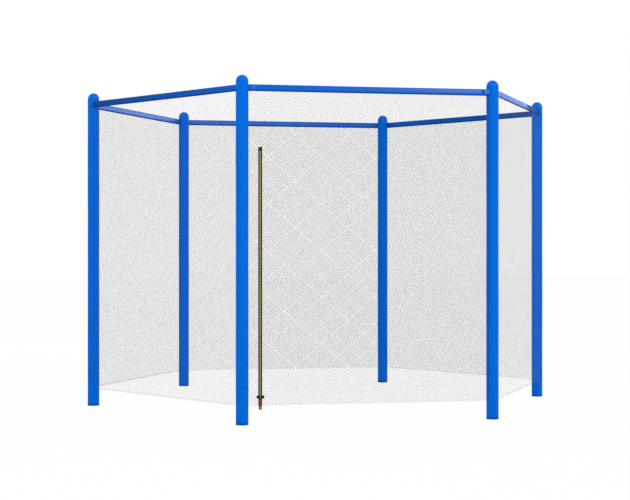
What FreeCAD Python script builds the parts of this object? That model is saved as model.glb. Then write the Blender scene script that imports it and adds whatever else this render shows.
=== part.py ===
# Trampoline safety enclosure: six padded poles on a circle, carrying six net panels,
# a webbing band along the net's top edge and a zipped entrance in the front panel.
# Millimetres, +Z up, origin on the ground at the centre of the pole circle.
# The front panel, with the zip, faces -Y.

import FreeCAD, Part
import math
import os
import Sketcher

SIZES = {
    # Layout
    "PoleCircleRadius": 1525.0,
    "PoleHeight": 2036.0,
    # Pole tubes, swaged together end to end
    "TubeDiameter": 38.0,
    "TubeWall": 1.5,
    "JointHeight": 1000.0,
    "ShoulderLength": 8.0,
    "NeckLength": 70.0,
    "NeckClearance": 0.1,
    "SocketDepth": 150.0,
    "BeadDepth": 1.5,
    "BeadLength": 12.0,
    # Screw that locks each pole joint
    "ScrewRadius": 2.1,
    "ScrewHeadRadius": 4.5,
    "ScrewHeadHeight": 2.6,
    "ScrewReach": 4.0,
    "ScrewClearance": 0.1,
    # Foam pad, fabric sleeve and domed cap of each pole
    "SleeveDiameter": 72.0,
    "SleeveWall": 1.2,
    "SleeveFoot": 0.6,
    "SoftClearance": 0.3,
    "CapWall": 2.5,
    "SpigotLength": 35.0,
    "SpigotClearance": 0.15,
    # Net panels, their top band and bottom hem
    "NetOffset": 22.0,
    "NetThickness": 1.6,
    "NetBottom": 113.0,
    "NetRim": 12.0,
    "NetStrand": 13.0,
    "BandDrop": 58.0,
    "BandHeight": 36.0,
    "HemHeight": 10.0,
    "WebbingThickness": 1.4,
    # Zip in the front panel
    "ZipOffset": 102.5,
    "ZipLength": 1503.0,
    "ZipWidth": 22.6,
    "TapeThickness": 0.9,
    "TailLength": 24.0,
    "TailWidth": 17.0,
    "TailGap": 1.6,
    "SlitWidth": 14.4,
    "RowGap": 1.4,
    "RowWidth": 2.6,
    "TeethThickness": 3.0,
    "TabHeight": 23.0,
    "TabThickness": 1.5,
    "StopHeight": 8.0,
    "StopWidth": 15.0,
    "StopThickness": 2.5,
    # Slider, its winged grip and its two pulls
    "SliderRise": 33.0,
    "SliderHeight": 26.0,
    "SliderWidth": 13.2,
    "SliderWall": 1.6,
    "SliderClearance": 0.35,
    "GripWidth": 44.0,
    "GripHeight": 16.5,
    "GripThickness": 1.8,
    "HingeRise": 5.0,
    "BridgeWidth": 3.0,
    "BridgeWall": 1.2,
    "PullWidth": 14.0,
    "PullLength": 25.0,
    "PullThickness": 2.0,
}

# Counts of the net's gaps, and the smallest area that a gap is cut for
NET_COLUMNS = 9
NET_ROWS = 13
SMALLEST_GAP = 400.0

# Places round the hexagon, as angles from +X, and the pieces named after them
POLES = {
    "left": 180,
    "front_left": 240,
    "front_right": 300,
    "right": 0,
    "back_right": 60,
    "back_left": 120,
}
PANELS = {
    "front_left": 210,
    "front": 270,
    "front_right": 330,
    "back_right": 30,
    "back": 90,
    "back_left": 150,
}

# Radii and levels of a pole, all from the sizes above
TUBE_OUTER = "(Sizes.TubeDiameter / 2)"
TUBE_BORE = f"({TUBE_OUTER} - Sizes.TubeWall)"
NECK_OUTER = f"({TUBE_BORE} - Sizes.NeckClearance)"
NECK_BORE = f"({NECK_OUTER} - Sizes.TubeWall)"
SLEEVE_OUTER = "(Sizes.SleeveDiameter / 2)"
SLEEVE_BORE = f"({SLEEVE_OUTER} - Sizes.SleeveWall)"
TUBE_TOP = f"(Sizes.PoleHeight - {SLEEVE_OUTER})"
SCREW_LEVEL = "(Sizes.JointHeight + Sizes.NeckLength / 2)"

# A panel's own frame: X along the panel, Z up, outward along -Y, net in the plane Y = 0
APOTHEM = "(Sizes.PoleCircleRadius * cos(30))"
HALF_CHORD = "(Sizes.PoleCircleRadius * sin(30))"
NET_FACE = "(Sizes.NetThickness / 2)"
FOLD_BORE = f"({NET_FACE} + Sizes.SoftClearance)"
FOLD_OUTER = f"({FOLD_BORE} + Sizes.WebbingThickness)"
BAND_TOP = "(Sizes.PoleHeight - Sizes.BandDrop)"
BAND_BOTTOM = f"({BAND_TOP} - Sizes.BandHeight)"
HEM_TOP = "(Sizes.NetBottom + Sizes.HemHeight)"
SLEEVE_REACH = f"({SLEEVE_OUTER} + Sizes.SoftClearance)"
NET_HALF = f"({HALF_CHORD} - sqrt({SLEEVE_REACH} ^ 2 - (Sizes.NetOffset - {NET_FACE}) ^ 2))"
NET_LOW = "(Sizes.NetBottom + Sizes.WebbingThickness + Sizes.SoftClearance)"
NET_HIGH = f"({BAND_TOP} - Sizes.WebbingThickness - Sizes.SoftClearance)"

# The zip's layers, as depths outward from the net's plane, and its levels
ZIP_PLACE = f"(Sizes.ZipOffset - {HALF_CHORD})"
ZIP_TOP = "(Sizes.NetBottom + Sizes.ZipLength)"
TAPE_BACK = FOLD_BORE
TAPE_FRONT = f"({TAPE_BACK} + Sizes.TapeThickness)"
TEETH_BACK = f"(({TAPE_BACK} + {TAPE_FRONT} - Sizes.TeethThickness) / 2)"
TEETH_FRONT = f"({TEETH_BACK} + Sizes.TeethThickness)"
ROW_INNER = "(Sizes.RowGap / 2)"
ROW_OUTER = f"({ROW_INNER} + Sizes.RowWidth)"
SLIDER_BOTTOM = "(Sizes.NetBottom + Sizes.SliderRise)"
SLIDER_TOP = f"({SLIDER_BOTTOM} + Sizes.SliderHeight)"
STOP_TOP = f"({SLIDER_BOTTOM} - Sizes.SoftClearance)"
STOP_BOTTOM = f"({STOP_TOP} - Sizes.StopHeight)"
PLATE_FRONT_IN = f"({TEETH_FRONT} + Sizes.SliderClearance)"
PLATE_FRONT_OUT = f"({PLATE_FRONT_IN} + Sizes.SliderWall)"
PLATE_BACK_IN = f"({TEETH_BACK} - Sizes.SliderClearance)"
PLATE_BACK_OUT = f"({PLATE_BACK_IN} - Sizes.SliderWall)"
PULL_RADIUS = "(Sizes.PullThickness / 2)"
HINGE_LEVEL = f"({SLIDER_BOTTOM} + Sizes.HingeRise)"
HINGE_OUT = f"({PLATE_FRONT_OUT} + Sizes.SliderClearance + {PULL_RADIUS})"
HINGE_IN = f"({PLATE_BACK_OUT} - Sizes.SliderClearance - {PULL_RADIUS})"

doc = FreeCAD.newDocument("enclosure")
sheet = doc.addObject("Spreadsheet::Sheet", "Sizes")
for row, (alias, size) in enumerate(SIZES.items(), start=1):
    sheet.set(f"A{row}", alias)
    sheet.set(f"B{row}", str(size))
    sheet.setAlias(f"B{row}", alias)
doc.recompute()

nodes = []


def number(expression):
    """The value of an expression over the sheet's sizes."""
    return float(sheet.evalExpression(expression))


def new_body(label):
    """A body for one piece, listed for export under its label."""
    body = doc.addObject("PartDesign::Body", label)
    body.Label = label
    nodes.append(body)
    return body


def new_sketch(body, name, role, depth="0"):
    """An empty sketch on one of the body's own planes, moved along the plane's normal."""
    sketch = body.newObject("Sketcher::SketchObject", name)
    plane = next(f for f in body.Origin.OriginFeatures if f.Role == role)
    sketch.AttachmentSupport = (plane, [""])
    sketch.MapMode = "FlatFace"
    sketch.setExpression("AttachmentOffset.Base.z", depth)
    return sketch


def bind(sketch, constraint, expression):
    """Adds a dimension to a sketch and ties it to the sheet."""
    index = sketch.addConstraint(constraint)
    sketch.setExpression(f"Constraints[{index}]", expression)


def polygon(body, name, role, corners, depth="0"):
    """A closed outline through corners, each a pair of expressions."""
    sketch = new_sketch(body, name, role, depth)
    points = [FreeCAD.Vector(number(across), number(up), 0) for across, up in corners]
    count = len(points)
    for index in range(count):
        sketch.addGeometry(Part.LineSegment(points[index], points[(index + 1) % count]), False)
    for index in range(count):
        sketch.addConstraint(Sketcher.Constraint("Coincident", index, 2, (index + 1) % count, 1))
    for index, (across, up) in enumerate(corners):
        for kind, expression in (("DistanceX", across), ("DistanceY", up)):
            dimension = Sketcher.Constraint(kind, -1, 1, index, 1, number(expression))
            bind(sketch, dimension, expression)
    return sketch


def box_corners(left, right, low, high):
    """The corners of a rectangle given by its four sides."""
    return [(left, low), (right, low), (right, high), (left, high)]


def circles(body, name, role, rings, depth="0"):
    """Circles, each given as the expressions of its centre and radius."""
    sketch = new_sketch(body, name, role, depth)
    for index, (across, up, radius) in enumerate(rings):
        centre = FreeCAD.Vector(number(across), number(up), 0)
        circle = Part.Circle(centre, FreeCAD.Vector(0, 0, 1), number(radius))
        sketch.addGeometry(circle, False)
        for kind, expression in (("DistanceX", across), ("DistanceY", up)):
            dimension = Sketcher.Constraint(kind, -1, 1, index, 3, number(expression))
            bind(sketch, dimension, expression)
        bind(sketch, Sketcher.Constraint("Radius", index, number(radius)), radius)
    return sketch


def pad(body, sketch, length, symmetric=False):
    """Pads a sketch along its normal, or half to each side of it."""
    feature = body.newObject("PartDesign::Pad", sketch.Name + "_pad")
    feature.Profile = sketch
    feature.setExpression("Length", length)
    if symmetric:
        feature.SideType = "Symmetric"
    return feature


def pocket(body, sketch, length, along_normal=False):
    """Cuts a sketch to a depth, against its normal unless told otherwise."""
    feature = body.newObject("PartDesign::Pocket", sketch.Name + "_pocket")
    feature.Profile = sketch
    feature.setExpression("Length", length)
    feature.Reversed = along_normal
    return feature


def revolve(body, sketch):
    """Turns a sketch once round the vertical axis."""
    feature = body.newObject("PartDesign::Revolution", sketch.Name + "_turn")
    feature.Profile = sketch
    feature.ReferenceAxis = (sketch, ["V_Axis"])
    feature.Angle = 360.0
    return feature


def place(item, turn, x, y, z="0"):
    """Turns a piece about Z by a fixed angle and ties its position to the sheet."""
    item.Placement.Rotation = FreeCAD.Rotation(FreeCAD.Vector(0, 0, 1), turn)
    item.setExpression("Placement.Base.x", x)
    item.setExpression("Placement.Base.y", y)
    item.setExpression("Placement.Base.z", z)


def at_pole(item, angle, level="0"):
    """Stands a piece on a pole's axis, its own +X pointing away from the centre."""
    radius = "Sizes.PoleCircleRadius"
    place(item, angle, f"{radius} * cos({angle})", f"{radius} * sin({angle})", level)


def at_panel(item, angle):
    """Puts a piece into a panel's frame."""
    reach = f"({APOTHEM} + Sizes.NetOffset)"
    place(item, angle + 90, f"{reach} * cos({angle})", f"{reach} * sin({angle})")


def at_zip(item):
    """Puts a piece on the zip's centre line in the front panel's plane."""
    place(item, 0, ZIP_PLACE, f"-({APOTHEM} + Sizes.NetOffset)")


# Poles


def radial_hole(body, name, radius, level, reach):
    """A round hole from the axis out along +X."""
    sketch = circles(body, name, "YZ_Plane", [("0", level, radius)])
    return pocket(body, sketch, reach, along_normal=True)


def lower_tube(place_name, angle):
    """Lower half of a pole: an open socket below a stop bead, and a swaged neck on top."""
    bead_middle = "Sizes.SocketDepth + Sizes.BeadLength / 2"
    bead_top = "Sizes.SocketDepth + Sizes.BeadLength"
    shoulder = "Sizes.JointHeight - Sizes.ShoulderLength"
    neck_top = "Sizes.JointHeight + Sizes.NeckLength"
    outer_side = [
        (TUBE_OUTER, "0"),
        (TUBE_OUTER, "Sizes.SocketDepth"),
        (f"{TUBE_OUTER} - Sizes.BeadDepth", bead_middle),
        (TUBE_OUTER, bead_top),
        (TUBE_OUTER, shoulder),
        (NECK_OUTER, "Sizes.JointHeight"),
        (NECK_OUTER, neck_top),
    ]
    inner_side = [
        (NECK_BORE, neck_top),
        (NECK_BORE, "Sizes.JointHeight"),
        (TUBE_BORE, shoulder),
        (TUBE_BORE, bead_top),
        (f"{TUBE_BORE} - Sizes.BeadDepth", bead_middle),
        (TUBE_BORE, "Sizes.SocketDepth"),
        (TUBE_BORE, "0"),
    ]
    body = new_body(f"lower_tube_{place_name}")
    revolve(body, polygon(body, "wall", "XZ_Plane", outer_side + inner_side))
    radial_hole(body, "pilot", "Sizes.ScrewRadius + Sizes.ScrewClearance / 2", SCREW_LEVEL, TUBE_OUTER)
    at_pole(body, angle)


def ring(body, inner, outer, length):
    """A plain tube standing on the body's origin."""
    sketch = circles(body, "ring", "XY_Plane", [("0", "0", inner), ("0", "0", outer)])
    return pad(body, sketch, length)


def upper_tube(place_name, angle):
    """Upper half of a pole, pushed over the lower half's neck."""
    body = new_body(f"upper_tube_{place_name}")
    ring(body, TUBE_BORE, TUBE_OUTER, f"{TUBE_TOP} - Sizes.JointHeight")
    radial_hole(body, "screw_hole", "Sizes.ScrewRadius + Sizes.ScrewClearance", "Sizes.NeckLength / 2",
                TUBE_OUTER)
    at_pole(body, angle, "Sizes.JointHeight")


def pole_foam(place_name, angle):
    """Foam pad round the tubes, with room for the joint screw's head."""
    foot = "(2 * Sizes.SleeveFoot)"
    body = new_body(f"pole_foam_{place_name}")
    ring(body, f"{TUBE_OUTER} + Sizes.SoftClearance", f"{SLEEVE_BORE} - Sizes.SoftClearance",
         f"{TUBE_TOP} - Sizes.SoftClearance - {foot}")
    radial_hole(body, "head_room", "Sizes.ScrewHeadRadius + Sizes.SoftClearance", f"{SCREW_LEVEL} - {foot}",
                f"{TUBE_OUTER} + Sizes.ScrewHeadHeight + Sizes.SoftClearance")
    at_pole(body, angle, foot)


def pole_cover(place_name, angle):
    """Fabric sleeve over the foam."""
    body = new_body(f"pole_cover_{place_name}")
    ring(body, SLEEVE_BORE, SLEEVE_OUTER, f"{TUBE_TOP} - Sizes.SoftClearance - Sizes.SleeveFoot")
    at_pole(body, angle, "Sizes.SleeveFoot")


def dome_outline(body):
    """A quarter ring between the cap's outer and inner spheres."""
    outer, inner = SLEEVE_OUTER, f"{SLEEVE_OUTER} - Sizes.CapWall"
    sketch = new_sketch(body, "dome", "XZ_Plane")
    origin, up = FreeCAD.Vector(0, 0, 0), FreeCAD.Vector(0, 0, 1)
    for radius in (outer, inner):
        arc = Part.ArcOfCircle(Part.Circle(origin, up, number(radius)), 0, math.pi / 2)
        sketch.addGeometry(arc, False)
    on_ground = [FreeCAD.Vector(number(radius), 0, 0) for radius in (outer, inner)]
    on_axis = [FreeCAD.Vector(0, number(radius), 0) for radius in (outer, inner)]
    sketch.addGeometry(Part.LineSegment(*on_ground), False)
    sketch.addGeometry(Part.LineSegment(*on_axis), False)
    for arc_index in (0, 1):
        sketch.addConstraint(Sketcher.Constraint("Coincident", arc_index, 3, -1, 1))
        sketch.addConstraint(Sketcher.Constraint("Coincident", 2, arc_index + 1, arc_index, 1))
        sketch.addConstraint(Sketcher.Constraint("Coincident", 3, arc_index + 1, arc_index, 2))
        sketch.addConstraint(Sketcher.Constraint("PointOnObject", arc_index, 1, -1))
        sketch.addConstraint(Sketcher.Constraint("PointOnObject", arc_index, 2, -2))
    for arc_index, radius in enumerate((outer, inner)):
        bind(sketch, Sketcher.Constraint("Radius", arc_index, number(radius)), radius)
    return sketch


def pole_cap(place_name, angle):
    """Hollow dome that closes a pole: a hub sits on the tube's end, its spigot inside."""
    spigot = f"({TUBE_BORE} - Sizes.SpigotClearance)"
    hollow = f"({spigot} - Sizes.CapWall)"
    hub = f"({TUBE_OUTER} + Sizes.CapWall)"
    hub_top = f"(sqrt(({SLEEVE_OUTER} - Sizes.CapWall) ^ 2 - {hub} ^ 2) + Sizes.CapWall / 2)"
    section = [
        (hollow, "-Sizes.SpigotLength"),
        (spigot, "-Sizes.SpigotLength"),
        (spigot, "0"),
        (hub, "0"),
        (hub, hub_top),
        (hollow, hub_top),
    ]
    body = new_body(f"pole_cap_{place_name}")
    revolve(body, dome_outline(body))
    revolve(body, polygon(body, "hub", "XZ_Plane", section))
    at_pole(body, angle, TUBE_TOP)


def screw_part(name, angle, radius, start, length):
    """A cylinder lying along a pole's own +X at the level of its joint screw."""
    cylinder = doc.addObject("Part::Cylinder", name)
    cylinder.setExpression("Radius", radius)
    cylinder.setExpression("Height", length)
    reach = f"(Sizes.PoleCircleRadius + {start})"
    upright_to_x = FreeCAD.Rotation(FreeCAD.Vector(0, 1, 0), 90)
    place(cylinder, angle, f"{reach} * cos({angle})", f"{reach} * sin({angle})", SCREW_LEVEL)
    cylinder.Placement.Rotation = cylinder.Placement.Rotation.multiply(upright_to_x)
    return cylinder


def joint_screws():
    """The six screws that lock the pole joints, as one group."""
    screws = []
    for place_name, angle in POLES.items():
        inner_end = f"({NECK_BORE} - Sizes.ScrewReach)"
        shank = screw_part(f"shank_{place_name}", angle, "Sizes.ScrewRadius", inner_end,
                           f"{TUBE_OUTER} - {inner_end}")
        head = screw_part(f"head_{place_name}", angle, "Sizes.ScrewHeadRadius", TUBE_OUTER,
                          "Sizes.ScrewHeadHeight")
        screw = doc.addObject("Part::Fuse", f"screw_{place_name}")
        screw.Base, screw.Tool = shank, head
        screws.append(screw)
    group = doc.addObject("Part::Compound", "pole_joint_screws")
    group.Links = screws
    nodes.append(group)


# Net panels


def clear_ends(body):
    """Rounds out both ends of a panel piece to fit round the poles' sleeves."""
    rings = [(f"{side}{HALF_CHORD}", "Sizes.NetOffset", SLEEVE_REACH) for side in ("-", "")]
    return pocket(body, circles(body, "ends", "XY_Plane", rings), "Sizes.PoleHeight", along_normal=True)


def cut_span(body, name, low, high):
    """Takes away the stretch of a panel piece between two places along it."""
    side = f"(2 * {FOLD_OUTER})"
    corners = [(low, f"-{side}"), (high, f"-{side}"), (high, side), (low, side)]
    return pocket(body, polygon(body, name, "XY_Plane", corners), "Sizes.PoleHeight", along_normal=True)


def folded_strip(label, angle, fold_level, open_level, fold_wall):
    """Webbing folded over an edge of the net: a channel whose fold is at fold_level."""
    floor = f"({fold_level} + {fold_wall})"
    section = [
        (f"-{FOLD_OUTER}", open_level),
        (f"-{FOLD_OUTER}", fold_level),
        (FOLD_OUTER, fold_level),
        (FOLD_OUTER, open_level),
        (FOLD_BORE, open_level),
        (FOLD_BORE, floor),
        (f"-{FOLD_BORE}", floor),
        (f"-{FOLD_BORE}", open_level),
    ]
    body = new_body(label)
    pad(body, polygon(body, "fold", "YZ_Plane", section), "Sizes.PoleCircleRadius", symmetric=True)
    clear_ends(body)
    at_panel(body, angle)
    return body


def top_band(place_name, angle):
    """Webbing band along a panel's top edge."""
    folded_strip(f"top_band_{place_name}", angle, BAND_TOP, BAND_BOTTOM, "-Sizes.WebbingThickness")


def bottom_hem(place_name, angle):
    """Tape along a panel's bottom edge, in two pieces beside the zip."""
    def strip(label):
        return folded_strip(label, angle, "Sizes.NetBottom", HEM_TOP, "Sizes.WebbingThickness")

    if place_name != "front":
        strip(f"bottom_hem_{place_name}")
        return
    beside = "(Sizes.ZipWidth / 2 + Sizes.SoftClearance)"
    zip_left, zip_right = f"{ZIP_PLACE} - {beside}", f"{ZIP_PLACE} + {beside}"
    cut_span(strip("bottom_hem_front"), "short_side", f"-{HALF_CHORD}", zip_right)
    cut_span(strip("bottom_hem_beside_zip"), "long_side", zip_left, HALF_CHORD)


def loop(points, clockwise):
    """A closed wire in the plane of the net's inner face, turned the way asked."""
    pairs = zip(points, points[1:] + points[:1])
    area = sum(start[0] * end[1] - end[0] * start[1] for start, end in pairs)
    if (area < 0) != clockwise:
        points = points[::-1]
    corners = [FreeCAD.Vector(across, number(NET_FACE), up) for across, up in points]
    return Part.makePolygon(corners + corners[:1])


def net_solid(outline, gaps):
    """A net of the full thickness, cut as one holed face."""
    face = Part.Face([loop(outline, False)] + [loop(gap, True) for gap in gaps])
    return face.extrude(FreeCAD.Vector(0, -number("Sizes.NetThickness"), 0))


def clip(points, side, limit, keep_above):
    """The part of a convex outline on one side of a level across (0) or up (1)."""
    def inside(point):
        return point[side] >= limit if keep_above else point[side] <= limit

    kept = []
    for start, end in zip(points, points[1:] + points[:1]):
        if inside(start):
            kept.append(start)
        if inside(start) != inside(end):
            share = (limit - start[side]) / (end[side] - start[side])
            kept.append(tuple(a + share * (b - a) for a, b in zip(start, end)))
    return kept


def net_gaps(half, low, high, rim, strand):
    """Diamond gaps in a staggered lattice, clipped at the panel's rim."""
    left, right, bottom, top = -half + rim, half - rim, low + rim, high - rim
    across = (right - left) / NET_COLUMNS
    up = (top - bottom) / NET_ROWS
    slant = math.hypot(across, up)
    half_across = across / 2 - strand * slant / (2 * up)
    half_up = up / 2 - strand * slant / (2 * across)
    gaps = []
    for row in range(2 * NET_ROWS + 1):
        for column in range(row % 2 == 0, 2 * NET_COLUMNS + 1, 2):
            x, z = left + column * across / 2, bottom + row * up / 2
            gap = [(x + half_across, z), (x, z + half_up), (x - half_across, z), (x, z - half_up)]
            for side, limit, keep_above in ((0, left, True), (0, right, False), (1, bottom, True),
                                            (1, top, False)):
                gap = clip(gap, side, limit, keep_above)
            if len(gap) > 2:
                gaps.append(gap)
    return gaps


def outside(points, border):
    """What is left of an outline outside a rectangle, as a list of outlines."""
    rest = Part.Face(loop(points, False)).cut(Part.Face(loop(border, False)))
    return [[(corner.X, corner.Z) for corner in face.OuterWire.OrderedVertexes] for face in rest.Faces]


def area_of(points):
    """The area inside an outline."""
    return Part.Face(loop(points, False)).Area


def net_shapes():
    """The whole net panel, and the front one that is slit for the zip."""
    half, low, high = number(NET_HALF), number(NET_LOW), number(NET_HIGH)
    rim, strand = number("Sizes.NetRim"), number("Sizes.NetStrand")
    gaps = net_gaps(half, low, high, rim, strand)
    gaps = [gap for gap in gaps if area_of(gap) > SMALLEST_GAP]
    whole = net_solid(box_corners(-half, half, low, high), gaps)

    middle, slit = number(ZIP_PLACE), number("Sizes.SlitWidth / 2")
    slit_top = number(f"{ZIP_TOP} - Sizes.TabHeight / 2")
    outline = box_corners(-half, half, low, high)
    outline[1:1] = [(middle - slit, low), (middle - slit, slit_top), (middle + slit, slit_top),
                    (middle + slit, low)]
    border = box_corners(middle - slit - rim, middle + slit + rim, low - rim, slit_top + rim)
    pieces = [piece for gap in gaps for piece in outside(gap, border)]
    pieces = [piece for piece in pieces if area_of(piece) > SMALLEST_GAP]
    print("gaps", len(gaps), "in a whole panel,", len(pieces), "in the front one")
    return whole, net_solid(outline, pieces)


def net_panels():
    """A panel of diamond net for each side."""
    whole, slit = net_shapes()
    for place_name, angle in PANELS.items():
        panel = doc.addObject("Part::Feature", f"net_panel_{place_name}")
        panel.Shape = slit if place_name == "front" else whole
        at_panel(panel, angle)
        nodes.append(panel)


# Zip


def slab(body, name, corners, back, thickness):
    """An upright plate in the zip's frame, its back face at a depth outward from the net."""
    return pad(body, polygon(body, name, "XZ_Plane", corners, depth=back), thickness)


def zip_tape(side_name, side):
    """One half of the zip's tape, with the narrow tail that hangs below the net."""
    edge, row_edge = "Sizes.ZipWidth / 2", f"{ROW_OUTER} + Sizes.NeckClearance"
    tail_out, tail_in = "Sizes.TailWidth / 2", "Sizes.TailGap / 2"
    tail_end = "Sizes.NetBottom - Sizes.TailLength"
    top = f"{ZIP_TOP} - Sizes.SoftClearance"
    outline = [
        (edge, top),
        (row_edge, top),
        (row_edge, STOP_BOTTOM),
        (tail_in, STOP_BOTTOM),
        (tail_in, tail_end),
        (tail_out, tail_end),
        (tail_out, "Sizes.NetBottom"),
        (edge, "Sizes.NetBottom"),
    ]
    body = new_body(f"zip_tape_{side_name}")
    slab(body, "tape", [(f"{side}({x})", z) for x, z in outline], TAPE_BACK, "Sizes.TapeThickness")
    at_zip(body)


def zip_teeth(side_name, side):
    """One row of teeth, as a plain strip from the bottom stop to under the top tab."""
    low, high = STOP_TOP, f"{ZIP_TOP} - Sizes.TabHeight / 2"
    corners = box_corners(f"{side}{ROW_INNER}", f"{side}{ROW_OUTER}", low, high)
    body = new_body(f"zip_teeth_{side_name}")
    slab(body, "row", corners, TEETH_BACK, "Sizes.TeethThickness")
    at_zip(body)


def zip_top_tab():
    """Sewn tab over the zip's upper end."""
    half = "Sizes.ZipWidth / 2"
    body = new_body("zip_top_tab")
    slab(body, "tab", box_corners(f"-{half}", half, f"{ZIP_TOP} - Sizes.TabHeight", ZIP_TOP),
         f"{TEETH_FRONT} + Sizes.SoftClearance", "Sizes.TabThickness")
    at_zip(body)


def zip_bottom_stop():
    """Clamp across the tapes that the slider comes down to."""
    half = "Sizes.StopWidth / 2"
    body = new_body("zip_bottom_stop")
    slab(body, "clamp", box_corners(f"-{half}", half, STOP_BOTTOM, f"{STOP_TOP} - Sizes.SoftClearance"),
         f"{TAPE_FRONT}", "Sizes.StopThickness")
    at_zip(body)


def bridge(body, name, plate, hinge, away):
    """A strap from a plate over the hinge bar of a pull, with room for the bar to turn."""
    room = f"({PULL_RADIUS} + Sizes.SliderClearance)"
    inside = f"({hinge} {away} {room})"
    outside = f"({inside} {away} Sizes.BridgeWall)"
    low, high = f"({HINGE_LEVEL} - {room})", f"({HINGE_LEVEL} + {room})"
    foot, head = f"{low} - Sizes.BridgeWall", f"{high} + Sizes.BridgeWall"
    section = [(plate, foot), (outside, foot), (outside, head), (plate, head), (plate, high),
               (inside, high), (inside, low), (plate, low)]
    outline = [(f"-({depth})", level) for depth, level in section]
    return pad(body, polygon(body, name, "YZ_Plane", outline), "Sizes.BridgeWidth", symmetric=True)


def zip_slider():
    """Slider: two plates, flanges round the rows of teeth, a post between them, two bridges."""
    half, flange = "Sizes.SliderWidth / 2", f"({ROW_OUTER} + Sizes.SliderClearance)"
    post = f"({ROW_INNER} - Sizes.SliderClearance)"
    body = new_body("zip_slider")
    plate = box_corners(f"-{half}", half, SLIDER_BOTTOM, SLIDER_TOP)
    slab(body, "front_plate", plate, PLATE_FRONT_IN, "Sizes.SliderWall")
    post_corners = box_corners(f"-{post}", post, SLIDER_BOTTOM, HINGE_LEVEL)
    slab(body, "post", post_corners, PLATE_BACK_IN, f"{PLATE_FRONT_IN} - {PLATE_BACK_IN}")
    slab(body, "back_plate", plate, PLATE_BACK_OUT, "Sizes.SliderWall")
    front_lip = f"({TAPE_FRONT} + Sizes.SliderClearance)"
    back_lip = f"({TAPE_BACK} - Sizes.SliderClearance)"
    for side_name, side in (("left", "-"), ("right", "")):
        lip = box_corners(f"{side}{flange}", f"{side}{half}", SLIDER_BOTTOM, SLIDER_TOP)
        slab(body, f"front_lip_{side_name}", lip, front_lip, f"{PLATE_FRONT_IN} - {front_lip}")
        slab(body, f"back_lip_{side_name}", lip, PLATE_BACK_IN, f"{back_lip} - {PLATE_BACK_IN}")
    bridge(body, "outer_bridge", PLATE_FRONT_OUT, HINGE_OUT, "+")
    bridge(body, "inner_bridge", PLATE_BACK_OUT, HINGE_IN, "-")
    at_zip(body)


def slider_grip():
    """Winged grip fixed across the slider's front plate."""
    half = "(Sizes.GripWidth / 2)"
    root_half = "(Sizes.SliderWidth / 2)"
    top, low = SLIDER_TOP, f"({SLIDER_TOP} - Sizes.GripHeight)"
    notch = "(Sizes.GripHeight / 3)"
    outline = [
        (f"-{root_half}", low),
        (root_half, low),
        (f"{half} - {notch}", f"{low} + {notch} / 4"),
        (half, f"{low} + {notch}"),
        (half, f"{top} - {notch}"),
        (f"{half} - {notch}", top),
        (root_half, f"{top} - {notch} / 2"),
        (f"-{root_half}", f"{top} - {notch} / 2"),
        (f"-{half} + {notch}", top),
        (f"-{half}", f"{top} - {notch}"),
        (f"-{half}", f"{low} + {notch}"),
        (f"-{half} + {notch}", f"{low} + {notch} / 4"),
    ]
    body = new_body("slider_grip")
    slab(body, "wings", outline, PLATE_FRONT_OUT, "Sizes.GripThickness")
    at_zip(body)


def pull(label, hinge):
    """A flat loop that hangs from a bridge of the slider by its round top bar."""
    half, wire = "(Sizes.PullWidth / 2)", "Sizes.PullThickness"
    foot = f"({HINGE_LEVEL} - Sizes.PullLength)"
    body = new_body(label)
    bar = circles(body, "bar", "YZ_Plane", [(f"-({hinge})", HINGE_LEVEL, PULL_RADIUS)])
    pad(body, bar, "Sizes.PullWidth", symmetric=True)
    back = f"({hinge} - {PULL_RADIUS})"
    for side_name, side in (("left", "-"), ("right", "")):
        leg = box_corners(f"{side}({half} - {wire})", f"{side}{half}", foot, HINGE_LEVEL)
        slab(body, f"leg_{side_name}", leg, back, wire)
    cross = box_corners(f"-{half}", half, foot, f"{foot} + {wire}")
    slab(body, "crossbar", cross, back, wire)
    at_zip(body)


def build():
    """Makes every piece."""
    for place_name, angle in POLES.items():
        lower_tube(place_name, angle)
        upper_tube(place_name, angle)
        pole_foam(place_name, angle)
        pole_cover(place_name, angle)
        pole_cap(place_name, angle)
    joint_screws()
    net_panels()
    for place_name, angle in PANELS.items():
        top_band(place_name, angle)
        bottom_hem(place_name, angle)
    for side_name, side in (("left", "-"), ("right", "")):
        zip_tape(side_name, side)
        zip_teeth(side_name, side)
    zip_top_tab()
    zip_bottom_stop()
    zip_slider()
    slider_grip()
    pull("outer_pull", HINGE_OUT)
    pull("inner_pull", HINGE_IN)


def check_and_export():
    """Stops on any failed object, then writes one STEP file for each piece."""
    doc.recompute()
    for item in doc.Objects:
        if "Invalid" in item.State or "Error" in item.State:
            raise RuntimeError(f"{item.Label} failed: {item.State}")
    for node in nodes:
        if node.Shape.isNull() or not node.Shape.isValid() or not node.Shape.Solids:
            raise RuntimeError(f"{node.Label} has no valid solid")
    os.makedirs("parts", exist_ok=True)
    for node in nodes:
        node.Shape.exportStep(f"parts/{node.Label}.step")
    print("pieces", len(nodes))


build()
check_and_export()
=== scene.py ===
# Looks of the trampoline safety enclosure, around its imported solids.
# Metres, +Z up. Poles and panels are made in frames of their own and turned into place.

from math import ceil, cos, exp, floor, pi, radians, remainder, sin, sqrt

import bpy
from mathutils import Matrix, Vector


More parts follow.
